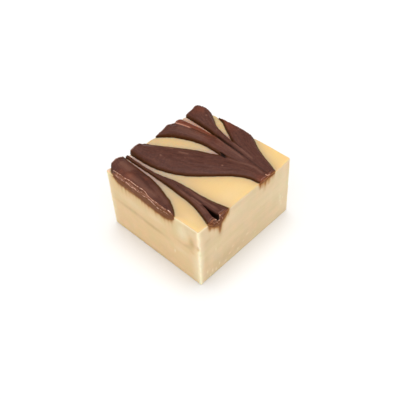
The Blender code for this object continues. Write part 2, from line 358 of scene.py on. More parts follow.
def tongue_mesh(tongue):
    xs = edge_spaced(tongue.first, tongue.last, ROW, SHOULDER, SHOULDER / 6)
    across = (1 - np.cos(np.linspace(0, math.pi, ACROSS + 1))) / 2
    layers = np.linspace(0, 1, LAYERS + 1)

    def place(x, share, layer):
        near = np.maximum(tongue.near(x), -FACE_Y)
        far = np.minimum(tongue.far(x), FACE_Y)
        y = mix(near, np.maximum(far, near + THINNEST), share)
        drop = shoulder_drop(FACE_X - np.abs(x)) + shoulder_drop(FACE_Y - np.abs(y))
        top = tongue.top(x, y) - drop
        foot = tongue.underside(x, y) - THINNEST
        return x, y, mix(foot, np.maximum(top, foot + THINNEST), layer)

    return lattice_mesh("tongue", xs, across, layers, place)


# The slit in the narrow tongue, a fold that stays open and runs out through the +X face
SLIT_START = 13.4
SLIT_END = 21.0
SLIT_LINE = curve([(13.4, -12.95), (16, -13.13), (17.5, -13.36), (18.9, -13.52), (20, -13.65), (21, -13.7)])
SLIT_HALF_WIDTH = curve([
    (13.4, 0.1), (14.6, 0.3), (16, 0.47), (17.5, 0.7), (18.9, 1), (20, 1.15), (21, 1.2),
])
SLIT_DEPTH = curve([(13.4, 0.3), (14.2, 1.3), (17.5, 2.1), (19, 2.1), (20, 1.7), (21, 1.5)])
SLIT_LEAN = 0.95  # how far its bottom lies towards +Y at the face, as a share of the half width
SLIT_BOTTOM = 0.55  # its bottom's width, as a share of the top's
SLIT_MOUTH = 0.35  # the same at the face
SLIT_CLOSING = (18.5, 19.8)  # where it goes from the one to the other
SLIT_ABOVE = 3.0


def slit_mesh():
    xs = np.linspace(SLIT_START, SLIT_END, 40)
    across = np.linspace(-1, 1, 13)
    layers = np.linspace(0, 1, 9)

    def place(x, side, layer):
        middle = SLIT_LINE(x)
        surface = level(x, middle)
        closing = smooth_step(*SLIT_CLOSING, x)
        narrowing = mix(mix(SLIT_BOTTOM, SLIT_MOUTH, closing), 1.0, np.clip(layer * 2, 0, 1))
        y = middle + SLIT_HALF_WIDTH(x) * (side * narrowing + SLIT_LEAN * closing * (1 - narrowing))
        foot = surface - SLIT_DEPTH(x) * (1 - 0.3 * side**2)
        return x, y, mix(foot, surface + SLIT_ABOVE, layer)

    return lattice_mesh("slit", xs, across, layers, place)


def joined(name, meshes):
    """One object that holds several closed meshes."""
    points = []
    faces = []
    start = 0
    for mesh in meshes:
        points.append(points_of(mesh) * MM)
        corners = np.empty(len(mesh.loops), np.int32)
        mesh.loops.foreach_get("vertex_index", corners)
        faces.append(corners.reshape(-1, 4) + start)
        start += len(mesh.vertices)
    whole = bpy.data.meshes.new(name)
    whole.from_pydata(np.concatenate(points), [], np.concatenate(faces).tolist())
    return add_object(name, whole)


def apply_modifiers(obj):
    graph = bpy.context.evaluated_depsgraph_get()
    mesh = bpy.data.meshes.new_from_object(obj.evaluated_get(graph))
    obj.modifiers.clear()
    obj.data = mesh


def remesh(obj, voxel, cutter=None):
    """Melts the closed meshes in an object into one skin, then cuts the cutter's shape out of it."""
    melt = obj.modifiers.new("Melt", "REMESH")
    melt.mode = "VOXEL"
    melt.voxel_size = voxel * MM
    if cutter:
        cut = obj.modifiers.new("Cut", "BOOLEAN")
        cut.operation = "DIFFERENCE"
        cut.object = cutter
        cut.solver = "MANIFOLD"
        again = obj.modifiers.new("Melt again", "REMESH")
        again.mode = "VOXEL"
        again.voxel_size = voxel * MM
    soften = obj.modifiers.new("Soften", "SMOOTH")
    soften.factor = 0.5
    soften.iterations = 3
    apply_modifiers(obj)
    if cutter:
        bpy.data.objects.remove(cutter)


# Heights of the relief all over the chocolate's skin. The wrinkles are near the cuts.
FINE_STREAKS = 0.07
BROAD_STREAKS = 0.10
LUMPS = 0.06
WRINKLES = 0.12
LIP_PLACE = 0.42  # how far inside a cut edge the painted highlight line along it runs
LIP_WIDTH = 0.13
# Air bubbles under the skin: place, radius, height and the strength of the painted glint on them
BUMPS = [
    (-10.5, -6.4, 0.3, 0.14, 0.8), (6.8, 3.4, 0.28, 0.12, 0.8), (-13.5, 17.9, 0.28, 0.12, 0.8),
    (-4, -2, 0.25, 0.06, 0.4), (2.5, 0.5, 0.3, 0.05, 0.2), (-16.5, 8, 0.3, 0.08, 0.3),
    (12, 14, 0.3, 0.05, 0.2), (-1, 20, 0.3, 0.06, 0.4), (-12, -18, 0.3, 0.07, 0.3),
    (6, -12, 0.25, 0.06, 0.3), (-7, 9.5, 0.25, 0.05, 0.3), (14, 9, 0.3, 0.05, 0.3),
    (1.5, 10.4, 0.25, 0.05, 0.3), (-6, 14.8, 0.25, 0.05, 0.3), (9.5, -11.5, 0.25, 0.04, 0.2),
]
# Redder places: place, radius and strength
WARM_SPOTS = [
    (-17.7, 18.7, 2.2, 0.6), (-14, 10.8, 1.6, 0.4), (-9.5, 10.4, 1.8, 0.4), (-5.5, 10, 2.2, 0.4),
    (-1.5, 10.2, 2.2, 0.3), (-10.5, -19.6, 1.7, 0.7), (-6.3, -16.6, 0.7, 0.5), (-13.8, -20.2, 1.3, 0.5),
    (20, 6.6, 2.2, 0.9), (20, 10.2, 1.2, 0.8),
]
# Folds between the swirls: points along them, half width, depth and how much painted shade they get
CREASES = [
    ([(-5, 13.2), (-1.5, 12.7), (2, 12.3), (5.8, 11.9), (9, 11.5)], 0.3, 0.35, 0.8),
    ([(7.5, 11.7), (10.3, 11.3), (14.7, 10.8), (18.2, 10.6), (19.6, 10.5)], 0.3, 0.2, 0.4),
    ([(1.7, 7.72), (3, 7.66), (4.7, 7.45)], 0.34, 0.75, 1.3),
    ([(-12, -16.6), (-7, -17.4), (-1, -18.4)], 1, 0.06, 0.25),
    ([(-1.5, 15.9), (1.4, 14.5), (3.6, 14.2), (5.5, 13.8)], 0.26, 0.3, 0.6),
    ([(18.7, 9.2), (18.9, 10.5), (19.1, 12.3)], 0.14, 0.1, 0.5),
    ([(1, -11.9), (3.5, -12.1), (6.5, -12.4), (10.5, -12.5), (14, -12.5)], 0.26, 0.2, 0.35),
    ([(-19, -10.4), (-19.1, -8), (-18.9, -5.4)], 0.13, 0.1, 0.4),
    ([(-18.7, 1.6), (-18.9, 5), (-18.7, 9.6)], 0.13, 0.1, 0.4),
    ([(-19, 15.2), (-19.1, 18), (-18.8, 20.8)], 0.13, 0.1, 0.4),
    ([(-18.9, -19.5), (-19, -17), (-18.8, -14.4)], 0.13, 0.1, 0.4),
]
# Ridges along the swirls, and broad patches of no height: points along them, half width, height and how
# strong the painted highlight on them is
RIDGES = [
    ([(-20, 8.95), (-19, 9.1), (-17.5, 9.4), (-16, 9.7), (-13.4, 10.25)], 0.22, 0.12, 2),
    ([(9, -12.9), (11.5, -13.1), (13.5, -13.3)], 0.25, 0.08, 0.5),
    ([(5, 7), (8.4, 7.9), (12.5, 9.3), (15, 9.7), (18.8, 9.2)], 0.4, 0.1, 0.28),
    ([(-4, 12.3), (0, 11.4), (5, 10.8), (10, 10.2)], 0.45, 0.1, 0.35),
    ([(1.8, 13.9), (4.5, 13.5), (8, 12.9), (12, 12.2)], 0.4, 0.12, 0.35),
    ([(4, -13.1), (9, -13.4), (13.5, -14), (17.5, -14.9)], 0.38, 0.12, 0.25),
    ([(5, -11.2), (10, -11.5), (15, -11.6), (18.5, -11.3)], 0.4, 0.1, 0.3),
    ([(-8, -1.2), (-6.5, -0.6), (-4.5, 0.2)], 0.4, 0.05, 0.45),
    ([(-13, -2.4), (-11.5, -1.7), (-10, -1.1)], 0.35, 0.04, 0.35),
    ([(-19.4, -10.8), (-19.45, -8), (-19.3, -5.6)], 0.13, 0.08, 0.55),
    ([(-19.3, 1.2), (-19.45, 5), (-19.2, 9.6)], 0.13, 0.08, 0.45),
    ([(-19.4, 15), (-19.5, 18), (-19.2, 20.9)], 0.13, 0.08, 0.45),
    ([(-19.35, -19.2), (-19.45, -17), (-19.3, -14.5)], 0.16, 0.08, 0.95),
    ([(-17.8, -17.2), (-15, -17), (-12, -17.6)], 1.6, 0, 0.38),
    ([(-12, -19.4), (-4, -19.8), (2, -19.7)], 1.1, 0, 0.34),
    ([(-4, -17), (2, -18.4), (6, -19.6)], 0.8, 0, 0.2),
    ([(-17, 6.5), (-12, 8.5), (-6, 9.8)], 1.4, 0, 0.2),
    ([(-2, 10.2), (3, 10.3), (8, 10.4)], 0.9, 0, 0.15),
]


# Torn lines where the knife cut through the chocolate, pale with smeared fudge and with painted highlights:
# points, half width, relief and how light.
# A point is the place along the face, and the height at which it appears from the front and above.
TORN_LEFT = [
    ([(-16.4, 26.3), (-15.2, 26.5), (-13.5, 26.6), (-12.2, 26.8), (-11.2, 26.4)], 0.13, 0.12, 1.7),
    ([(-11.4, 26.4), (-10.4, 26.6), (-8.6, 26.9), (-6.8, 26.8), (-5.2, 26.7), (-4, 26.8)], 0.15, 0.12, 2),
    ([(-4.2, 26.7), (-2.6, 26.9), (-1.4, 26.6), (-0.6, 25.9), (0.3, 25.4)], 0.15, 0.12, 2),
    ([(-0.2, 25.6), (1.2, 25.2), (2.8, 25.3), (4.2, 25.2), (5.6, 25.3)], 0.14, 0.1, 1.9),
    ([(5.2, 25.2), (6.4, 25.1), (7.4, 25.3)], 0.12, 0.08, 1.5),
    ([(7.8, 25.5), (8.8, 25.3), (9.8, 24.9)], 0.22, 0.12, 2.6),
    ([(-15.4, 24.9), (-14, 24.6), (-12.6, 24.7), (-11.2, 24.4)], 0.15, 0.1, 1.5),
    ([(-12.6, 25.3), (-11, 25.2), (-9.2, 25.5), (-7.6, 25.3), (-6.2, 25.6)], 0.12, 0.08, 1.2),
    ([(-10.8, 24.7), (-9.6, 24.9), (-8.4, 24.4), (-7, 24.6)], 0.15, 0.12, 2),
    ([(-7.6, 24.9), (-6.4, 24.8), (-5.2, 24.4), (-4, 24.6)], 0.14, 0.12, 1.8),
    ([(-5.6, 25.4), (-4.2, 25.2), (-2.8, 25.4), (-1.6, 25.2)], 0.12, 0.08, 1.3),
    ([(-3.6, 24.3), (-2.4, 24.2), (-1.2, 24.5), (0.2, 24.2)], 0.15, 0.12, 1.9),
    ([(-0.4, 24.6), (0.8, 24.3), (2, 23.7), (3.2, 23.2), (4.4, 23.2)], 0.15, 0.12, 2.1),
    ([(4, 23.3), (5.2, 23.3), (6.4, 23.6), (7.6, 23.8)], 0.14, 0.1, 1.7),
    ([(-15, 25.7), (-13, 25.8), (-10.5, 25.9), (-8, 26.1)], 0.1, 0.06, 0.9),
    ([(1, 24.9), (3.5, 24.7), (5.5, 24.8), (7.5, 24.6)], 0.11, 0.06, 1.2),
    ([(-9.5, 23.8), (-7.5, 23.7), (-5.5, 23.9), (-3.5, 23.6)], 0.12, 0.06, 0.9),
    ([(2.5, 22.4), (5, 22.3), (7.2, 22.8)], 0.12, 0.06, 0.8),
]
TORN_RIGHT = [
    ([(-15.1, 24.9), (-14.5, 24.7), (-14, 24.2), (-13.5, 23.6)], 0.22, 0.05, 1.5),
    ([(-12.4, 25.1), (-12.25, 24.6), (-12.1, 24.1)], 0.2, 0.05, 1.4),
    ([(-13.6, 22.7), (-13.1, 22), (-12.7, 21.3)], 0.16, 0.08, 1),
    ([(-12.9, 23), (-12.6, 22.7), (-12.3, 22.9)], 0.22, 0.08, 1.4),
    ([(-11.6, 23.6), (-11.2, 22.6), (-10.9, 21.8)], 0.14, 0.08, 0.9),
    ([(-15.6, 24.6), (-15, 23.6), (-14.4, 22.8)], 0.14, 0.08, 0.8),
    ([(-9.8, 24.6), (-9.4, 23.8)], 0.14, 0.06, 0.8),
    ([(9.6, 24.8), (10.2, 24.5), (10.9, 24.4)], 0.18, 0.08, 1.8),
    ([(8.4, 26.3), (9, 25.3), (9.7, 24.5)], 0.12, 0.08, 1.3),
    ([(6.3, 25.4), (6.8, 25)], 0.22, 0.05, 0.9),
    ([(11.5, 25.2), (12, 24.6)], 0.12, 0.05, 0.8),
    ([(7.2, 24.4), (8.6, 24.1)], 0.12, 0.06, 0.9),
]
CLIMB = 1.44  # how much higher a place appears on a front face for each millimetre that it lies behind it


def torn(along, z, behind, lines, seed):
    """Height, and how light the smeared fudge and painted highlights are, along the ragged lines where the
    knife tore a front face. behind is the distance back from the face.
    """
    height, tone = along_lines(along, z + CLIMB * behind, lines)
    ragged = np.clip(0.8 + 1.0 * field(np.stack([along, z, behind], axis=1), 0.55, seed), 0.2, 1.1)
    shown = ragged * smooth_step(1.5, 1.0, behind)
    return height * shown, tone * shown


def along_lines(x, y, lines):
    """Height, and how light or dark, from 0 up, of the lines that a point lies on: painted shade, painted
    highlight or smeared fudge, as the list gives. Each line fades out at its ends.
    """
    height, tone = np.zeros((2, len(x)))
    here = np.stack([x, y], axis=1)
    for points, half_width, deep, strength in lines:
        points = np.array(points, float)
        total = np.linalg.norm(np.diff(points, axis=0), axis=1).sum()
        nearest = np.full(len(x), NOWHERE)
        place = np.zeros(len(x))
        done = 0.0
        for start, end in zip(points[:-1], points[1:]):
            run = end - start
            length = np.linalg.norm(run)
            share = np.clip((here - start) @ run / length**2, 0, 1)
            away = np.linalg.norm(here - start - share[:, None] * run, axis=1)
            closer = away < nearest
            nearest = np.where(closer, away, nearest)
            place = np.where(closer, done + share * length, place)
            done += length
        fade = np.clip(np.minimum(place, total - place) / (0.12 * total) + 0.15, 0, 1)
        reach = bell(nearest, half_width) * fade
        height = np.maximum(height, deep * reach)
        tone = np.maximum(tone, strength * reach)
    return height, tone


def finish_chocolate(obj, tongues):
    """Relief on the skin of a piece of chocolate, and the values that its material reads."""
    mesh = obj.data
    points = points_of(mesh)
    normals = read(mesh, "normal")
    x, y, z = points.T

    highest = np.full(len(points), -NOWHERE)
    across, warmth, to_edge, far_edge = np.zeros((4, len(points)))
    for number, tongue in enumerate(tongues):
        covered = tongue.covers(x, y)
        height = np.where(covered, tongue.top(x, y), -NOWHERE)
        mine = height > highest
        highest = np.where(mine, height, highest)
        share = tongue.share(x, y)
        width = tongue.far(x) - tongue.near(x)
        across = np.where(mine, share * 6 + 10 * number, across)
        warmth = np.where(mine, tongue.warmth * smooth_step(1.0, -8.0, x), warmth)
        to_edge = np.where(mine, np.minimum(share, 1 - share) * width, to_edge)
        # Painted shade, with the thin chocolate's own darker colour, along far edges that no other tongue
        # joins
        beyond = tongue.far(x) + 0.3
        joined_on = np.any([other.covers(x, beyond) for other in tongues], axis=0)
        far_edge = np.where(mine, smooth_step(0.11, 0.04, 1 - share) * ~joined_on, far_edge)
    to_edge = np.where(highest < 0, 0.0, to_edge)
    for place_x, place_y, radius, strength in WARM_SPOTS:
        warmth = np.maximum(warmth, strength * bell(np.hypot(x - place_x, y - place_y), radius))

    to_cut = np.minimum(FACE_X - np.abs(x), FACE_Y - np.abs(y))
    cut_normal = np.maximum(np.abs(normals[:, 0]), np.abs(normals[:, 1]))
    cut = smooth_step(0.3, 0.1, to_cut) * smooth_step(0.55, 0.8, cut_normal)
    on_top = smooth_step(0.2, 0.7, normals[:, 2]) * (z > level(x, y) - 0.2)
    along = np.where(np.abs(x) > FACE_X - WALL_ZONE, y, x)
    walk = np.stack([along, along * 0, along * 0], axis=1)
    # A painted highlight along the cut edges, where the rounded shoulder catches the light
    lip_place = LIP_PLACE + 0.30 * field(walk, 1.1, 2.6)
    lip_strength = np.clip(0.75 + 1.2 * field(walk, 2.3, 7.7), 0.1, 1)
    front_left = (y < 0) & (FACE_Y + y < FACE_X - np.abs(x))
    lip = bell(to_cut - lip_place, LIP_WIDTH) * lip_strength * np.where(front_left, 0.0, 0.4)
    lip *= smooth_step(0.15, 0.5, normals[:, 2]) * smooth_step(0.2, 0.8, z - level(x, y))

    flow = np.stack([x, across, np.zeros(len(x))], axis=1)
    streaks = field(flow, (7.0, 0.5, 1.0), 3.1) * FINE_STREAKS
    streaks += field(flow, (12.0, 1.5, 1.0), 9.4) * BROAD_STREAKS
    lumps = field(points, 3.2, 5.7) * LUMPS
    wrinkles = field(points, (0.45, 2.4, 1.0), 1.9) * smooth_step(3.0, 0.6, to_cut) * WRINKLES
    # Folds, with painted shade in them
    folds, dark = along_lines(x, y, CREASES)
    # Ridges, with painted highlights along them
    ridges, light = along_lines(x, y, RIDGES)
    # Air bubbles, with painted glints on them
    bumps = np.zeros(len(x))
    for place_x, place_y, radius, height, lightness in BUMPS:
        spot = bell(np.hypot(x - place_x, y - place_y), radius)
        bumps += height * spot
        light = np.maximum(light, lightness * spot)
    # Ridges that the knife tore on the front faces: relief, pale smears and painted highlights
    left_height, left_light = torn(x + y + FACE_Y, z, y + FACE_Y, TORN_LEFT, 3.3)
    right_height, right_light = torn(y - FACE_X + x, z, FACE_X - x, TORN_RIGHT, 6.8)
    torn_height = left_height * front_left + right_height * ~front_left
    torn_light = left_light * front_left + right_light * ~front_left
    relief = (streaks + lumps + wrinkles + bumps + ridges - folds) * on_top

    faces = np.stack([along, z, to_cut], axis=1)
    drag = field(faces, (3.0, 0.5, 5.0), 8.8) * 0.6 + field(faces, (0.8, 0.25, 5.0), 4.2) * 0.4
    relief += torn_height - KNIFE_DRAG * np.clip(0.35 + drag, 0, 1) * cut
    foot = lowest(tongues, np.clip(x, -FACE_X, FACE_X), y)
    above = np.where(foot < NOWHERE, z - foot, 0.0)

    floor = np.minimum(z, level(x, y) + 0.04)
    points += normals * relief[:, None]
    points[:, 2] = np.where(on_top > 0, np.maximum(points[:, 2], floor), points[:, 2])
    points[:, 0] = np.clip(points[:, 0], -FACE_X, FACE_X)
    points[:, 1] = np.clip(points[:, 1], -FACE_Y, FACE_Y)
    points[:, 2] = np.minimum(points[:, 2], HIGHEST)
    move_points(mesh, points)

    # Painted shade down in the slit
    middle = SLIT_LINE(x)
    in_slit = (x > SLIT_START - 0.3) & (np.abs(y - middle) < SLIT_HALF_WIDTH(x) + 0.12)
    depth = smooth_step(0.35, -0.3, z - level(x, y)) * in_slit * (x < FACE_X - 0.1)
    # Darker along the chocolate's edges: partly the thin chocolate's own colour, partly painted shade on the
    # steep flanks
    edge = np.maximum(smooth_step(0.75, 0.05, to_edge), far_edge) * (1 - cut)
    dark = np.clip(np.maximum(dark * on_top, depth), 0, 1)
    light = np.maximum(light * on_top, 0)
    # Stored for the material, beside the cut faces' values: painted highlights on the cut edges, ridges and
    # bubbles, painted shade at the edges, in the folds and in the slit, and the torn lines' smears and
    # painted highlights
    keep_values(mesh, cut=cut, above=above, lip=lip, warm=warmth, edge=edge, dark=dark, light=light)
    keep_values(mesh, torn=torn_light, across=across)
    mesh.shade_smooth()
    mesh.materials.clear()
    mesh.materials.append(CHOCOLATE)


def chocolate_piece(name, tongues, node, voxel=VOXEL, cutter=None):
    obj = joined(name, [tongue_mesh(tongue) for tongue in tongues])
    remesh(obj, voxel, cutter)
    finish_chocolate(obj, tongues)
    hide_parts(node)
    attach(obj, "root")


# The block

EDGE_RADIUS = 0.5
FOOT_RADIUS = 0.3
STEP = 0.3  # between the block's points, and near its edges
EDGE_STEP = 0.15
TOP_WAVE = 0.10  # height of the waves in the top, and depth of the hollow in the walls
WALL_HOLLOW = 0.14
CORNER_LEAN = 0.4  # how far the wall leans in at the top of the corner towards +X and +Y
GROOVE_DEPTH = 0.28  # the pale surface dips where it meets the chocolate
GROOVE_WIDTH = 0.9
RIM_WIDTH = 0.4  # of the painted contact shade round the chocolate
NEAR_REACH = 2.0  # how far beside the chocolate painted shade tints the top
POCKET_START = (12.0, 14.0)  # where the pale surface goes down under the slit
POCKET_DEPTH = 2.35
POCKET_LINING = 0.35  # chocolate left below that surface

# Marks on the cut walls: place along the wall, height, half length, half height, depth
DENTS_LEFT = [
    (18.3, 17.2, 2.2, 1.1, 0.28), (19.4, 16.8, 0.5, 0.7, 0.25), (13.5, 14.4, 3.5, 0.5, 0.08),
    (-6, 12, 8.5, 0.45, 0.09), (9.3, 8.3, 0.35, 0.3, -0.06),
]
DENTS_RIGHT = [
    (18, 7.5, 1.2, 2, 0.12), (-9, 2.4, 4, 0.8, 0.1), (16.8, 12.5, 0.8, 0.5, 0.1), (6, 14.5, 6, 0.5, 0.05),
]

# Darker places, partly painted shade in dents and nicks, and lighter ones with a minus, partly painted
# highlights near edges: place along, height, half length, half height, amount.
# On the top they are: X, Y, half length, half width, amount.
TONES_LEFT = [
    (-9, 12.7, 7.5, 0.8, 0.55), (0.5, 12.1, 5, 0.7, 0.55), (13.5, 14.4, 3, 0.6, 0.35),
    (16.9, 17.6, 1.1, 2.6, 0.75), (15.4, 15.2, 1.6, 0.9, 0.35), (19.4, 16.9, 0.5, 0.6, 1.1),
    (13.2, 20, 2.7, 3.8, -0.75), (9.3, 8.2, 0.25, 0.7, -0.9), (17.2, 13.4, 1, 0.6, 0.3),
    (-3, 0.6, 16, 0.7, 0.35), (2, 17.3, 3.5, 1.4, -0.35), (-10, 16.5, 7, 1.8, -0.25),
    (-9, 19.5, 5, 1.2, 0.12), (5, 5, 7, 2.5, 0.1), (12, 10.5, 4, 1.2, -0.25), (-19.2, 12, 1.4, 9, -0.5),
    (17.5, 22, 2, 2, -0.3), (18.6, 8, 1.8, 9, -0.6), (-19.9, 22.5, 1.3, 2.5, -0.7),
]
TONES_RIGHT = [
    (-9, 4, 8, 2.6, 0.35), (-6, 19.5, 6, 2.4, -0.2), (3, 9, 6, 4, 0.1), (17, 9.5, 0.3, 0.9, -0.8),
    (17.9, 6, 0.25, 0.7, -0.8), (-6.5, 5.6, 0.5, 0.3, -0.6), (-12.8, 3, 0.25, 0.6, -1),
    (-4, 2.2, 0.4, 0.3, -0.9), (-10, 1.6, 0.5, 0.25, -0.9), (-16, 2.4, 0.25, 0.7, -1),
    (0.5, 5.5, 0.6, 0.3, -0.7), (-18.2, 3.6, 0.25, 0.6, -1), (-14.4, 1.6, 0.3, 0.5, -1),
    (-8, 3.4, 0.3, 0.4, -0.7), (-1.5, 3.8, 0.3, 0.3, -0.7), (-14.2, 11, 0.25, 0.6, -0.7),
    (4.5, 3, 0.4, 0.3, -0.7), (-17, 0.9, 0.3, 0.4, -1), (17.2, 7.6, 0.2, 0.5, -0.9),
    (18.6, 8.2, 0.2, 0.5, -0.8), (16.4, 11, 0.25, 0.5, -0.7), (12, 15, 6, 3, -0.15),
    (18.5, 12, 3, 12, -0.3), (-17.6, 17.8, 1.6, 0.8, 0.25), (-18.8, 9, 1.3, 5, 0.2),
    (-20.6, 12, 1.3, 10, -0.6), (8, 12.5, 4, 0.7, 0.15), (-5, 12, 6, 0.8, 0.12),
]
TONES_TOP = [
    (-19.6, -20.8, 1, 0.9, -0.8), (-19.3, -11.7, 1.2, 0.6, -1.2), (-18.6, -13.6, 1.2, 0.3, -0.5),
    (-19.6, 13.9, 1.5, 0.8, -0.5), (14, -19, 3, 1.2, -0.1), (17, -5, 3, 5, -0.12), (3, -8, 4, 1, 0.1),
]
TONES_BACK = [
    (-4, 11, 9, 0.7, 0.4), (11, 16, 5, 1.8, -0.3), (6, 4, 8, 2, 0.25), (-14, 6, 0.3, 0.8, -0.8),
    (15.5, 8, 0.5, 0.4, -0.7),
]
TONES_LEFT_BACK = [
    (4, 13, 9, 0.6, 0.4), (-12, 9, 5, 2.5, -0.25), (12, 5, 7, 2.2, 0.25), (-5, 5.5, 0.3, 0.7, -0.8),
    (16, 12, 0.5, 0.4, -0.6),
]

SMEAR = 1.3  # how far down the walls the knife smeared the chocolate

# Longer drips that it dragged down the walls: place along, length, half width, strength
DRIPS_RIGHT = [
    (-16.4, 2.6, 0.8, 1), (-14.6, 1.6, 1, 0.5), (-12.2, 5, 0.85, 1.2), (-12, 6.5, 1.2, 0.35),
    (-10.6, 2, 0.8, 0.6), (-8.5, 3.2, 0.55, 0.55), (6.2, 3, 0.8, 0.9), (7.3, 3, 0.9, 0.6),
    (8.5, 3.6, 0.75, 0.9), (8.4, 5, 1.1, 0.4), (10.2, 3.4, 1.1, 0.6), (12.2, 2.6, 0.7, 0.45),
]
DRIPS_LEFT = [
    (-16, 1.2, 1.5, 0.5), (-11, 1.3, 2.5, 0.5), (-5.5, 1.1, 2.5, 0.6), (0.5, 1.2, 2.4, 0.65),
    (5, 1.5, 1.8, 0.7), (8.5, 1.9, 1, 0.6),
]
DRIPS_BACK = [
    (-18.5, 1.6, 0.6, 0.6), (-15.4, 2.6, 0.5, 0.6), (-7, 1.4, 1.4, 0.5), (-2.2, 2.9, 0.5, 0.65),
    (1.4, 1.6, 0.8, 0.6),
]
DRIPS_LEFT_BACK = [
    (-18.6, 1.8, 0.8, 0.6), (-15.6, 2.8, 0.5, 0.6), (-9.6, 2.2, 0.6, 0.65), (-6.8, 1.6, 0.9, 0.5),
    (2.6, 1.8, 0.8, 0.55), (6.3, 3.2, 0.5, 0.7), (11.6, 1.5, 0.6, 0.6), (17.4, 2.4, 0.7, 0.65),
]


def chocolate_distances(x, y):
    """From a point of the pale surface to the nearest chocolate on its -Y side, to that on its +Y side,
    and to the nearest edge of chocolate on either side of it.
    """
    before, after, nearest = np.full((3, *np.shape(x)), NOWHERE)
    for tongue in TONGUES:
        beside = np.clip(x, tongue.first, tongue.last)
        for edge, is_near in ((tongue.near, True), (tongue.far, False)):
            slope = (edge(beside + 0.2) - edge(beside - 0.2)) / 0.4
            step = (edge(beside) - y) / np.sqrt(1 + slope**2)
            away = np.hypot(step, x - beside)
            nearest = np.minimum(nearest, away)
            if is_near:
                after = np.where(step > -0.05, np.minimum(after, away), after)
            else:
                before = np.where(step < 0.05, np.minimum(before, away), before)
    return before, after, nearest


def dents(along, z, marks):
    depth = np.zeros(np.shape(along))
    for place, height, half_length, half_height, deep in marks:
        reach = ((along - place) / half_length) ** 2 + ((z - height) / half_height) ** 2
        depth += deep * np.exp(-reach)
    return depth


def rounded(points, low, high, radius):
    """Points on the skin of a box, moved onto the same box with rounded edges."""
    core = np.clip(points, low + radius, high - radius)
    out = points - core
    length = np.maximum(np.linalg.norm(out, axis=1, keepdims=True), 1e-9)
    return core + out / length * radius


def slit_pocket(x, y):
    """How far the pale surface lies lower under the narrow tongue, so that the slit opens onto chocolate."""
    under = NARROW.covers(np.clip(x, -FACE_X, FACE_X), y)
    room = NARROW.sink(x) * NARROW.keel(NARROW.share(x, y)) - POCKET_LINING
    return np.where(under, np.clip(room, 0, POCKET_DEPTH) * smooth_step(*POCKET_START, x), 0)


def block_mesh():
    xs = edge_spaced(-FACE_X, FACE_X, STEP, EDGE_RADIUS, EDGE_STEP)
    ys = edge_spaced(-FACE_Y, FACE_Y, STEP, EDGE_RADIUS, EDGE_STEP)
    zs = edge_spaced(0, HEIGHT_FRONT, STEP, EDGE_RADIUS, EDGE_STEP)

    def place(x, y, z):
        points = np.stack([x, y, z], axis=1)
        worn = 1 + np.clip(field(points, 6.0, 2.3) * 0.5, -0.3, 0.3)
        radius = np.where(z > HEIGHT_FRONT / 2, EDGE_RADIUS, FOOT_RADIUS)[:, None] * worn[:, None]
        low = np.array([-FACE_X, -FACE_Y, 0])
        high = np.array([FACE_X, FACE_Y, HEIGHT_FRONT])
        x, y, z = rounded(points, low, high, radius).T
        up = z / HEIGHT_FRONT
        surface = level(x, y)
        z = up * (surface - slit_pocket(x, y))

        wall = np.stack([x, y, z], axis=1)
        waves = 0.5 + 0.5 * field(wall, 11.0, 6.1) + 0.35 * field(wall, (9.0, 9.0, 1.2), 4.4)
        hollow = WALL_HOLLOW * np.clip(waves, 0, 1.4) * np.sin(math.pi * np.clip(up, 0, 1)) ** 0.5
        on_x = smooth_step(FACE_X - 1.5, FACE_X - 0.2, np.abs(x))
        on_y = smooth_step(FACE_Y - 1.5, FACE_Y - 0.2, np.abs(y))
        lean = CORNER_LEAN * smooth_step(16.0, FACE_Y, y) * up**2
        right = (dents(y, z, DENTS_RIGHT) + lean) * (x > 0)
        left = dents(x, z, DENTS_LEFT) * (y < 0)
        x = x - np.sign(x) * on_x * np.maximum(hollow + right, 0)
        y = y - np.sign(y) * on_y * np.maximum(hollow + left, 0)

        on_top = smooth_step(0.9, 0.985, up)
        flat = np.stack([x, y, np.zeros(len(x))], axis=1)
        waves = field(flat, 9.0, 1.7) * 0.7 + field(flat, 3.5, 7.9) * 0.3
        groove = GROOVE_DEPTH * bell(chocolate_distances(x, y)[2], GROOVE_WIDTH)
        z = z + on_top * (TOP_WAVE * waves - groove)
        return x, y, z

    return lattice_mesh("fudge", xs, ys, zs, place)


def wall_foot(wall, along):
    """Height of the chocolate's underside along a wall, +X, -X, +Y or -Y, or NOWHERE where there is none."""
    face = FACE_X if wall[1] == "X" else FACE_Y
    across = np.full(np.shape(along), face if wall[0] == "+" else -face)
    return lowest(TONGUES, across, along) if wall[1] == "X" else lowest(TONGUES, along, across)


def stain_on(wall, along, z, drips):
    """How much chocolate the knife smeared on a wall, from 0 to 1."""
    foot = wall_foot(wall, along)
    below = np.where(foot < NOWHERE, foot - z, NOWHERE)
    ragged = 0.55 + 0.5 * field(np.stack([along, z * 0.2, along * 0], axis=1), (0.9, 2.0, 1.0), 2.2)
    stain = np.exp(-np.maximum(below, 0) / np.maximum(SMEAR * ragged, 0.1))
    for place, length, half_width, strength in drips:
        start = wall_foot(wall, np.array([place]))[0]
        if start == NOWHERE:
            start = HEIGHT_BACK
        fall = (start - z) / length
        fade = np.clip(1 - fall, 0, 1) ** 0.8 * (fall > -0.3)
        narrower = half_width * (1.1 - 0.5 * np.clip(fall, 0, 1))
        stain = np.maximum(stain, strength * fade * bell(along - place, narrower))
    return np.clip(stain, 0, 1)


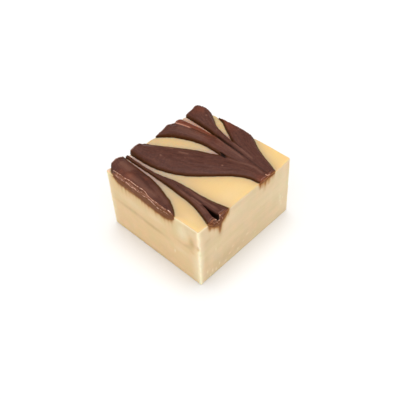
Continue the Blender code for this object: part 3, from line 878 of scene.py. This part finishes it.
def fudge_block():
    mesh = block_mesh()
    points = points_of(mesh)
    normals = read(mesh, "normal")
    x, y, z = points.T
    walls = [
        ("+X", x > FACE_X - WALL_ZONE, normals[:, 0], y, DRIPS_RIGHT, TONES_RIGHT),
        ("-X", x < -FACE_X + WALL_ZONE, -normals[:, 0], y, DRIPS_LEFT_BACK, TONES_LEFT_BACK),
        ("+Y", y > FACE_Y - WALL_ZONE, normals[:, 1], x, DRIPS_BACK, TONES_BACK),
        ("-Y", y < -FACE_Y + WALL_ZONE, -normals[:, 1], x, DRIPS_LEFT, TONES_LEFT),
    ]
    stain, tone = np.zeros((2, len(points)))
    for name, near_wall, facing, along, drips, tones in walls:
        share = smooth_step(0.3, 0.7, facing[near_wall])
        amount = stain_on(name, along[near_wall], z[near_wall], drips) * share
        stain[near_wall] = np.maximum(stain[near_wall], amount)
        # Tone patches on the walls, partly painted shade in the dents and small painted highlights
        tone[near_wall] += dents(along[near_wall], z[near_wall], tones) * share

    before, after, nearest = chocolate_distances(x, y)
    on_top = smooth_step(0.35, 0.95, normals[:, 2])
    # Painted shade on the top beside the chocolate, deepest in the narrow gaps between tongues and weaker
    # towards the back left
    near = (np.exp(-before / NEAR_REACH) + np.exp(-after / NEAR_REACH)) * on_top
    near *= mix(1, 0.65, smooth_step(15.0, 17.5, y) * smooth_step(3.0, -3.0, x))
    covered = np.any([tongue.covers(x, y) for tongue in TONGUES], axis=0)
    # Painted contact shade in a thin dark line round the chocolate
    rim = np.clip(1 - np.where(covered, -nearest, nearest) / RIM_WIDTH, 0, 2) * on_top
    # Tone patches on the top, partly painted highlights along the -X edge
    tone += dents(x, y, TONES_TOP) * on_top
    # Painted highlight along the rounded edges, widest down the front corner and weaker towards the back
    to_edges = np.sort([FACE_X - np.abs(x), FACE_Y - np.abs(y), np.abs(level(x, y) - z)], axis=0)[1]
    front = (x > 0) & (y < 0)
    corner = bell(to_edges, np.where(front, 0.85, 0.6)) * mix(1, 0.45, smooth_step(-18.0, -8.0, y))
    warmer = smooth_step(0.3, 0.7, np.abs(normals[:, 1]))
    upright = smooth_step(0.5, 0.1, np.abs(normals[:, 2]))
    near = np.clip(near, 0, 2)
    # Stored for the material: stains, tone patches with painted shade and highlights, painted shade beside
    # and round the chocolate, and a painted highlight along the edges
    keep_values(mesh, stain=stain, tone=tone, skin=on_top, near=near, rim=rim)
    keep_values(mesh, corner=corner, warmer=warmer, upright=upright)
    mesh.shade_smooth()
    mesh.materials.append(FUDGE)
    obj = add_object("fudge", mesh)
    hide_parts("fudge_block")
    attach(obj, "root")


# The materials


class Tree:
    """Builds the nodes of a material or a world. A value for an input is a number, a colour or an output."""

    def __init__(self, owner, shader="Principled BSDF"):
        owner.use_nodes = True
        self.owner = owner
        self.tree = owner.node_tree
        self.shader = self.tree.nodes[shader]

    def put(self, socket, value):
        if isinstance(value, bpy.types.NodeSocket):
            self.tree.links.new(value, socket)
        else:
            socket.default_value = (*value, 1) if socket.type == "RGBA" else value

    def add(self, kind, inputs=(), **settings):
        node = self.tree.nodes.new(kind)
        for key, value in settings.items():
            setattr(node, key, value)
        for key, value in dict(inputs).items():
            self.put(node.inputs[key], value)
        return node

    def value(self, name):
        return self.add("ShaderNodeAttribute", attribute_name=name).outputs["Fac"]

    def place(self, scale):
        """Object coordinates in millimetres, times scale."""
        here = self.add("ShaderNodeTexCoord").outputs["Object"]
        return self.add("ShaderNodeMapping", {"Vector": here, "Scale": [s / MM for s in scale]}).outputs[0]

    def noise(self, vector, scale, detail, roughness=0.5):
        inputs = {"Vector": vector, "Scale": scale, "Detail": detail, "Roughness": roughness}
        return self.add("ShaderNodeTexNoise", inputs).outputs["Fac"]

    def spread(self, value, low, high, to_low=0.0, to_high=1.0, steps="LINEAR"):
        """What goes from to_low to to_high as the value goes from low to high."""
        inputs = {"Value": value, "From Min": low, "From Max": high, "To Min": to_low, "To Max": to_high}
        return self.add("ShaderNodeMapRange", inputs, interpolation_type=steps).outputs[0]

    def times(self, a, b):
        return self.add("ShaderNodeMath", {0: a, 1: b}, operation="MULTIPLY").outputs[0]

    def blend(self, share, a, b):
        return self.add("ShaderNodeMix", {0: share, 6: a, 7: b}, data_type="RGBA").outputs[2]

    def tint(self, colour, value, low, high, over, most=1.0):
        """The colour, and more and more of another over it as the value goes from low to high."""
        return self.blend(self.spread(value, low, high, 0.0, most), colour, over)

    def bump(self, height, depth, normal=None):
        """A bump whose white stands depth millimetres above its black."""
        inputs = {"Height": height, "Distance": depth * MM, "Strength": 1.0}
        if normal:
            inputs["Normal"] = normal
        return self.add("ShaderNodeBump", inputs).outputs[0]

    def shade(self, **inputs):
        for name, value in inputs.items():
            self.put(self.shader.inputs[name.replace("_", " ")], value)


# Painted shade on the pale top beside the chocolate: from and to which nearness, and the colour at the
# second
NEAR_TINTS = [
    (0.1, 0.6, (0.665, 0.46, 0.225)), (0.6, 1.0, (0.54, 0.41, 0.245)), (1.0, 1.3, (0.44, 0.33, 0.24)),
    (1.25, 1.5, (0.40, 0.265, 0.225)), (1.5, 1.75, (0.40, 0.25, 0.225)),
]


def fudge_material():
    t = Tree(bpy.data.materials.new("fudge"))
    here = t.place((1, 1, 1))
    x, y = t.add("ShaderNodeSeparateXYZ", {0: here}).outputs[:2]
    tone = t.value("tone")
    near = t.value("near")
    on_top = t.value("skin")
    upright = t.value("upright")
    stain = t.value("stain")

    # The top turns lighter and more orange towards the open corners, and painted shade makes it greyer,
    # pinker and darker beside the chocolate
    skin = t.tint((0.75, 0.515, 0.235), t.noise(here, 0.09, 2), 0.35, 0.65, (0.79, 0.54, 0.24))
    skin = t.tint(skin, x, 6, 17, (0.80, 0.57, 0.255))
    skin = t.blend(t.times(t.spread(y, 11, 16), t.spread(x, 0, 8)), skin, (0.815, 0.565, 0.235))
    for low, high, colour in NEAR_TINTS:
        skin = t.tint(skin, near, low, high, colour)
    # Pinker painted shade between the tongues towards +Y
    pinker = t.times(t.spread(near, 0.8, 1.5), t.spread(y, 3, 13, 0.0, 0.95))
    skin = t.blend(pinker, skin, (0.48, 0.255, 0.185))
    # Tone patches, partly painted shade and painted highlights
    skin = t.tint(skin, tone, 0, -1, (0.86, 0.62, 0.50))
    skin = t.tint(skin, tone, 0, 1, (0.50, 0.38, 0.24))
    # Painted contact shade round the chocolate
    skin = t.tint(skin, t.value("rim"), 0.2, 0.75, (0.085, 0.032, 0.005))

    # The cut walls are paler, in faint layers
    blotch = t.spread(t.noise(here, 0.35, 3), 0.35, 0.65)
    layers = t.noise(t.place((0.03, 0.03, 0.35)), 1.0, 3)
    crumb = t.tint((0.74, 0.57, 0.35), layers, 0.35, 0.68, (0.67, 0.515, 0.31))
    crumb = t.blend(t.times(blotch, 0.35), crumb, (0.73, 0.56, 0.355))
    crumb = t.blend(t.times(t.value("warmer"), 0.8), crumb, (0.75, 0.525, 0.275))
    # Tone patches, partly painted shade in the dents and painted highlights
    crumb = t.tint(crumb, tone, 0, 1, (0.47, 0.31, 0.14))
    crumb = t.tint(crumb, tone, 0, -1, (0.84, 0.74, 0.50))
    colour = t.blend(on_top, crumb, skin)
    # Painted highlight along the rounded edges
    edges = t.blend(upright, (0.90, 0.62, 0.28), (1.0, 0.90, 0.64))
    colour = t.blend(t.times(t.value("corner"), t.spread(upright, 0, 1, 0.3, 1.0)), colour, edges)

    grain = t.noise(here, 3.2, 4, 0.6)
    mottle = t.noise(here, 0.24, 3, 0.6)
    walls = t.spread(on_top, 0, 1, 1, 0)
    colour = t.blend(t.times(walls, t.spread(mottle, 0.5, 0.66, 0, 0.3)), colour, (0.82, 0.56, 0.35))
    colour = t.blend(t.times(walls, t.spread(mottle, 0.5, 0.36, 0, 0.3)), colour, (0.66, 0.54, 0.28))
    colour = t.tint(colour, grain, 0.56, 0.72, (0.55, 0.37, 0.17), 0.18)
    colour = t.tint(colour, stain, 0.0, 0.5, (0.42, 0.185, 0.045))
    colour = t.tint(colour, stain, 0.4, 0.95, (0.165, 0.052, 0.011))
    knife = t.noise(t.place((0.05, 0.05, 1.6)), 1.0, 5, 0.65)
    t.shade(
        Base_Color=colour,
        Roughness=t.spread(blotch, 0, 1, 0.5, 0.62),
        Specular_IOR_Level=0.18,
        Normal=t.bump(knife, 0.05, t.bump(grain, 0.03)),
        Subsurface_Weight=0.4,
        Subsurface_Radius=(1.0, 0.5, 0.22),
        Subsurface_Scale=0.0012,
        IOR=1.45,
    )
    return t.owner


def chocolate_material():
    t = Tree(bpy.data.materials.new("chocolate"))
    here = t.place((1, 1, 1))
    x = t.add("ShaderNodeSeparateXYZ", {0: t.place((0.11, 1, 1))}).outputs[0]
    flow = t.add("ShaderNodeCombineXYZ", {"X": x, "Y": t.value("across")}).outputs[0]
    streaks = t.noise(flow, 2.0, 4, 0.65)
    cloudy = t.spread(t.noise(here, 0.3, 3), 0.35, 0.65)
    fine = t.noise(here, 1.5, 5, 0.7)
    warm = t.value("warm")
    light = t.value("light")
    above = t.value("above")
    lines = t.value("torn")
    colour = t.blend(cloudy, (0.089, 0.0305, 0.0205), (0.097, 0.035, 0.024))
    colour = t.tint(colour, streaks, 0.5, 0.70, (0.150, 0.055, 0.034), 0.55)
    colour = t.tint(colour, streaks, 0.5, 0.32, (0.055, 0.016, 0.010), 0.6)
    colour = t.blend(t.times(warm, t.spread(streaks, 0.40, 0.60, 0.5, 0.8)), colour, (0.225, 0.052, 0.022))
    colour = t.tint(colour, fine, 0.52, 0.7, (0.165, 0.062, 0.039), 0.35)
    colour = t.tint(colour, fine, 0.48, 0.3, (0.05, 0.017, 0.012), 0.5)
    # Darker along the edges: the thin chocolate's own colour and painted shade on the steep flanks
    colour = t.blend(t.times(t.value("edge"), 0.9), colour, (0.075, 0.022, 0.004))
    # Painted highlights on the ridges and glints on the bubbles
    colour = t.blend(light, colour, (0.27, 0.125, 0.085))
    colour = t.tint(colour, light, 1, 2, (0.62, 0.27, 0.19))

    # The cut sections: dragged chocolate, thinner and redder towards the pale fudge under it
    drag = t.noise(t.place((0.33, 0.33, 1.9)), 1.0, 4, 0.7)
    cut = t.tint((0.095, 0.024, 0.009), drag, 0.40, 0.54, (0.24, 0.085, 0.038))
    cut = t.tint(cut, drag, 0.55, 0.66, (0.40, 0.19, 0.115))
    cut = t.tint(cut, above, 2.0, 1.2, (0.15, 0.034, 0.002), 0.8)
    cut = t.tint(cut, above, 0.9, -0.1, (0.40, 0.165, 0.045), 0.95)
    cut = t.blend(t.times(warm, 0.65), cut, (0.24, 0.06, 0.026))
    colour = t.blend(t.value("cut"), colour, cut)
    # Painted highlight along the cut edges
    colour = t.blend(t.value("lip"), colour, (0.50, 0.26, 0.19))
    # The torn lines: pale smeared fudge, and painted highlights where they catch the light
    colour = t.tint(colour, lines, 0.15, 1.0, (0.40, 0.17, 0.10))
    colour = t.tint(colour, lines, 0.7, 1.7, (0.88, 0.56, 0.42))
    # Painted shade in the folds and down in the slit
    colour = t.blend(t.value("dark"), colour, (0.012, 0.004, 0.002))
    t.shade(
        Base_Color=colour,
        Roughness=t.spread(cloudy, 0, 1, 0.42, 0.52),
        Specular_IOR_Level=0.14,
        Normal=t.bump(t.noise(here, 2.5, 4, 0.6), 0.03, t.bump(streaks, 0.08)),
        Subsurface_Weight=0.12,
        Subsurface_Radius=(0.6, 0.25, 0.12),
        Subsurface_Scale=0.0005,
        IOR=1.46,
    )
    return t.owner


# The floor, the light and the camera

FLOOR_SIZE = 4.0
FLOOR_SHADE = 0.9
SKY_STRENGTH = 0.84
DARK_SIDE = (-0.69, 0.69, 0.2)  # the room is darker in this direction, behind the fudge
DARK_RANGE = (0.35, 0.9)  # cosines of the angle to that direction between which it darkens
DARK_SHARE = 0.3
FRONT_RANGE = (-0.3, -0.95)  # and between which the front of the room gets brighter
FRONT_SHARE = 1.45
LAMP_PLACE = (-0.38, 0.38, 2.85)
LAMP_TARGET = (0, 0, 0.02)
LAMP_SIZE = 1.6
LAMP_WATTS = 40.0
CAMERA_AZIMUTH = 45.62  # degrees from +Y's opposite, towards +X
CAMERA_ELEVATION = 46.03
CAMERA_ROLL = -3.0
CAMERA_DISTANCE = 199.42
CAMERA_TARGET = np.array([0.0, -0.18, 10.5])
CAMERA_ASIDE = (-0.042, -1.89)  # the camera stands this far right of and above the line to its target
FOCAL_SHARE = 1.51  # focal length over the picture's width
SENSOR_WIDTH = 36


def add_floor():
    half = FLOOR_SIZE / 2
    mesh = bpy.data.meshes.new("floor")
    corners = [(-half, -half, 0), (half, -half, 0), (half, half, 0), (-half, half, 0)]
    mesh.from_pydata(corners, [], [(0, 1, 2, 3)])
    t = Tree(bpy.data.materials.new("floor"))
    t.shade(Base_Color=(FLOOR_SHADE, FLOOR_SHADE, FLOOR_SHADE), Roughness=0.9, IOR=1.1)
    mesh.materials.append(t.owner)
    add_object("floor", mesh)


def add_light():
    t = Tree(bpy.data.worlds.new("studio"), "Background")
    direction = t.add("ShaderNodeTexCoord").outputs["Generated"]
    turned = t.add("ShaderNodeVectorMath", {0: direction, 1: DARK_SIDE}, operation="DOT_PRODUCT")
    cosine = turned.outputs["Value"]
    dark = t.spread(cosine, *DARK_RANGE, SKY_STRENGTH, SKY_STRENGTH * DARK_SHARE, "SMOOTHSTEP")
    front = t.spread(cosine, *FRONT_RANGE, 1.0, FRONT_SHARE, "SMOOTHSTEP")
    t.shade(Color=(1, 1, 1), Strength=t.times(dark, front))
    bpy.context.scene.world = t.owner
    lamp = bpy.data.lights.new("softbox", "AREA")
    lamp.shape = "DISK"
    lamp.size = LAMP_SIZE
    lamp.energy = LAMP_WATTS
    obj = add_object("softbox", lamp)
    obj.location = LAMP_PLACE
    aim = Vector(LAMP_TARGET) - obj.location
    obj.rotation_euler = aim.to_track_quat("-Z", "Y").to_euler()


def add_camera():
    azimuth, elevation, roll = np.radians([CAMERA_AZIMUTH, CAMERA_ELEVATION, CAMERA_ROLL])
    back = np.array([
        math.sin(azimuth) * math.cos(elevation),
        -math.cos(azimuth) * math.cos(elevation),
        math.sin(elevation),
    ])
    level_right = np.array([math.cos(azimuth), math.sin(azimuth), 0])
    level_up = np.cross(back, level_right)
    right = math.cos(roll) * level_right + math.sin(roll) * level_up
    up = -math.sin(roll) * level_right + math.cos(roll) * level_up
    place = CAMERA_TARGET + CAMERA_ASIDE[0] * right + CAMERA_ASIDE[1] * up + CAMERA_DISTANCE * back
    camera = bpy.data.cameras.new("camera")
    camera.sensor_width = SENSOR_WIDTH
    camera.lens = SENSOR_WIDTH * FOCAL_SHARE
    camera.clip_start = 0.01
    obj = add_object("camera", camera)
    turn = Matrix([right, up, back]).transposed().to_4x4()
    obj.matrix_world = Matrix.Translation(place * MM) @ turn
    bpy.context.scene.camera = obj


FUDGE = fudge_material()
CHOCOLATE = chocolate_material()
fudge_block()
chocolate_piece("side_tongue", [SIDE], "chocolate_side_tongue")
slit = add_object("slit", slit_mesh())
chocolate_piece("narrow_tongue", [NARROW], "chocolate_narrow_tongue", cutter=slit)
chocolate_piece("fan", FAN, "chocolate_fan", FAN_VOXEL)
add_floor()
add_light()
add_camera()
bpy.context.scene.view_settings.view_transform = "Standard"
